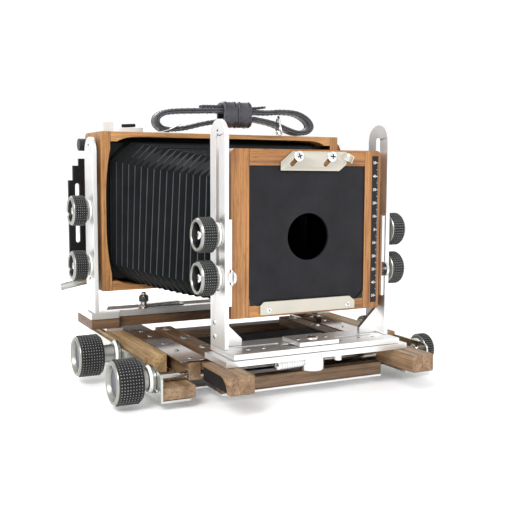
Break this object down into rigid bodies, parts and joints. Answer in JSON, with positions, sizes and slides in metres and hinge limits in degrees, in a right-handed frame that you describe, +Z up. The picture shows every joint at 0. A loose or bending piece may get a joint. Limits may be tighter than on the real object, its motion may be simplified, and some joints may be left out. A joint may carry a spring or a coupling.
{
  "type": "view camera",
  "caption": "Wooden panoramic view camera: walnut bed and standards, aluminium uprights, tapered bellows, lens board, focusing knobs, ground glass back and leather strap handle.",
  "frame": {"origin": "on the ground, on the underside of the tripod plate, midway between the side brackets", "axes": "+X across the camera to the viewer's left when standing in front, +Z up, the lens faces -Y"},
  "size_m": [0.2828, 0.252, 0.2245],
  "materials": {
    "bed_walnut": "satin oiled walnut",
    "frame_walnut": "satin lacquered warm walnut",
    "aluminium": "satin clear anodised",
    "nickel": "polished nickel",
    "black_anodised": "matt black anodised",
    "black_knurl": "black knurled aluminium with bare rims",
    "lens_board": "matt charcoal",
    "bellows": "matt black coated cloth",
    "leather": "slate black strap leather",
    "ground_glass": "frosted"
  },
  "bodies": {
    "base": {"side_bracket_left": "aluminium", "side_bracket_right": "aluminium", "bottom_plate": "aluminium", "tripod_plate": "black_anodised", "base_rail_left": "bed_walnut", "base_rail_right": "bed_walnut", "front_cross_board": "bed_walnut", "rear_cross_board": "bed_walnut", "guide_rail_left": "bed_walnut", "guide_rail_right": "bed_walnut", "wing_plate_left": "nickel", "wing_plate_right": "nickel", "guide_cross_bar": "bed_walnut"},
    "front_focus": {"front_focus_shaft": "nickel", "front_focus_knob_left": "black_knurl", "front_focus_knob_right": "black_knurl"},
    "rear_focus_left": {"rear_focus_knob_left": "black_knurl"},
    "rear_focus_right": {"rear_focus_knob_right": "black_knurl"},
    "front_bed": {"bed_block_left": "bed_walnut", "bed_block_right": "bed_walnut", "inner_rail_left": "bed_walnut", "inner_rail_right": "bed_walnut", "bed_panel": "black_anodised", "standard_base_plate": "aluminium"},
    "swing_lock": {"swing_lock_lever": "aluminium"},
    "swing_detent": {"swing_detent_pin": "aluminium"},
    "front_swing": {"swing_clamp_plate": "aluminium"},
    "front_shift": {"shift_plate": "aluminium", "front_upright_left": "aluminium", "front_upright_right": "aluminium"},
    "front_rise": {"rise_slider_left": "aluminium", "rise_slider_right": "aluminium"},
    "front_tilt_lock_left": {"front_tilt_knob_left": "black_knurl"},
    "front_tilt_lock_right": {"front_tilt_knob_right": "black_knurl"},
    "rise_lock_left": {"rise_lock_knob_left": "black_knurl"},
    "rise_lock_right": {"rise_lock_knob_right": "black_knurl"},
    "lens_standard": {"lens_frame": "frame_walnut", "lens_board": "lens_board", "board_foot_plate": "nickel"},
    "latch": {"board_latch": "nickel"},
    "rear_carriage": {"outer_rail_left": "bed_walnut", "outer_rail_right": "bed_walnut", "rear_board": "bed_walnut"},
    "rear_swing": {"rear_swing_plate": "aluminium", "rear_upright_left": "aluminium", "rear_upright_right": "aluminium"},
    "rear_clamp": {"rear_lock_lever": "nickel"},
    "rear_tilt_lock_left": {"rear_tilt_knob_left": "black_knurl"},
    "rear_tilt_lock_right": {"rear_tilt_knob_right": "black_knurl"},
    "rear_box_lock_left": {"rear_lock_knob_left": "black_knurl"},
    "rear_box_lock_right": {"rear_lock_knob_right": "black_knurl"},
    "film_standard": {"rear_box": "frame_walnut", "bellows_rear_frame": "black_anodised", "back_frame": "black_anodised", "glass_holder": "black_anodised", "ground_glass": "ground_glass", "strap_handle": "leather", "bellows": "bellows"},
    "back_release_left": {"back_release_knob_left": "black_knurl"},
    "back_release_right": {"back_release_knob_right": "black_knurl"}
  },
  "joints": [
    {"name": "front_bed_slide", "type": "slide", "parent": "base", "child": "front_bed", "axis": [0, 1, 0], "range_m": [-0.1, 0.01], "deforming": ["bellows"]},
    {"name": "front_focus_turn", "type": "hinge", "parent": "base", "child": "front_focus", "pos_m": [0, -0.0635, 0.0195], "axis": [1, 0, 0], "range_deg": [-150, 1440]},
    {"name": "rear_carriage_slide", "type": "slide", "parent": "base", "child": "rear_carriage", "axis": [0, 1, 0], "range_m": [-0.02, 0.03]},
    {"name": "rear_focus_left_turn", "type": "hinge", "parent": "base", "child": "rear_focus_left", "pos_m": [-0.12, 0.0165, 0.022], "axis": [1, 0, 0], "range_deg": [-525, 350]},
    {"name": "rear_focus_right_turn", "type": "hinge", "parent": "base", "child": "rear_focus_right", "pos_m": [0.12, 0.0165, 0.022], "axis": [1, 0, 0], "range_deg": [-525, 350]},
    {"name": "swing_lock_turn", "type": "hinge", "parent": "front_bed", "child": "swing_lock", "pos_m": [0, -0.0895, 0.027], "axis": [0, 0, 1], "range_deg": [-25, 40]},
    {"name": "swing_detent_pull", "type": "slide", "parent": "front_bed", "child": "swing_detent", "axis": [0, 0, 1], "range_m": [-0.003, 0], "stiffness_N_per_m": 200, "springref_m": 0.002},
    {"name": "front_swing", "type": "hinge", "parent": "front_bed", "child": "front_swing", "pos_m": [0, -0.0895, 0.04], "axis": [0, 0, 1], "range_deg": [-15, 15]},
    {"name": "front_shift", "type": "slide", "parent": "front_swing", "child": "front_shift", "axis": [1, 0, 0], "range_m": [-0.018, 0.018]},
    {"name": "front_rise", "type": "slide", "parent": "front_shift", "child": "front_rise", "axis": [0, 0, 1], "range_m": [0, 0.06]},
    {"name": "front_tilt", "type": "hinge", "parent": "front_rise", "child": "lens_standard", "pos_m": [0, -0.075, 0.1195], "axis": [1, 0, 0], "range_deg": [-12, 12]},
    {"name": "board_latch_slide", "type": "slide", "parent": "lens_standard", "child": "latch", "axis": [0.7071, 0, 0.7071], "range_m": [0, 0.0075]},
    {"name": "front_tilt_lock_left_turn", "type": "hinge", "parent": "front_rise", "child": "front_tilt_lock_left", "pos_m": [-0.075, -0.075, 0.1195], "axis": [1, 0, 0], "range_deg": [-180, 180]},
    {"name": "front_tilt_lock_right_turn", "type": "hinge", "parent": "front_rise", "child": "front_tilt_lock_right", "pos_m": [0.075, -0.075, 0.1195], "axis": [1, 0, 0], "range_deg": [-180, 180]},
    {"name": "rise_lock_left_turn", "type": "hinge", "parent": "front_rise", "child": "rise_lock_left", "pos_m": [-0.075, -0.075, 0.0895], "axis": [1, 0, 0], "range_deg": [-180, 180]},
    {"name": "rise_lock_right_turn", "type": "hinge", "parent": "front_rise", "child": "rise_lock_right", "pos_m": [0.075, -0.075, 0.0895], "axis": [1, 0, 0], "range_deg": [-180, 180]},
    {"name": "rear_swing", "type": "hinge", "parent": "rear_carriage", "child": "rear_swing", "pos_m": [0, 0.0685, 0.0413], "axis": [0, 0, 1], "range_deg": [-8, 8]},
    {"name": "rear_clamp_turn", "type": "hinge", "parent": "rear_swing", "child": "rear_clamp", "pos_m": [-0.0734, 0.0695, 0.05], "axis": [0, 0, 1], "range_deg": [0, 60]},
    {"name": "rear_tilt", "type": "hinge", "parent": "rear_swing", "child": "film_standard", "pos_m": [0, 0.0685, 0.1311], "axis": [1, 0, 0], "range_deg": [-8, 8]},
    {"name": "rear_tilt_lock_left_turn", "type": "hinge", "parent": "rear_swing", "child": "rear_tilt_lock_left", "pos_m": [-0.125, 0.0685, 0.1311], "axis": [1, 0, 0], "range_deg": [-180, 180]},
    {"name": "rear_tilt_lock_right_turn", "type": "hinge", "parent": "rear_swing", "child": "rear_tilt_lock_right", "pos_m": [0.125, 0.0685, 0.1311], "axis": [1, 0, 0], "range_deg": [-180, 180]},
    {"name": "rear_box_lock_left_turn", "type": "hinge", "parent": "rear_swing", "child": "rear_box_lock_left", "pos_m": [-0.125, 0.0685, 0.086], "axis": [1, 0, 0], "range_deg": [-180, 180]},
    {"name": "rear_box_lock_right_turn", "type": "hinge", "parent": "rear_swing", "child": "rear_box_lock_right", "pos_m": [0.125, 0.0685, 0.086], "axis": [1, 0, 0], "range_deg": [-180, 180]},
    {"name": "back_release_left_turn", "type": "hinge", "parent": "film_standard", "child": "back_release_left", "pos_m": [-0.117, 0.0935, 0.1855], "axis": [1, 0, 0], "range_deg": [-180, 180]},
    {"name": "back_release_right_turn", "type": "hinge", "parent": "film_standard", "child": "back_release_right", "pos_m": [0.117, 0.0935, 0.1855], "axis": [1, 0, 0], "range_deg": [-180, 180]}
  ],
  "couplings": [
    {"joint": "front_focus_turn", "follows": "front_bed_slide", "rad_per_m": -250},
    {"joint": "rear_focus_left_turn", "follows": "rear_carriage_slide", "rad_per_m": -303.03},
    {"joint": "rear_focus_right_turn", "follows": "rear_carriage_slide", "rad_per_m": -303.03}
  ]
}
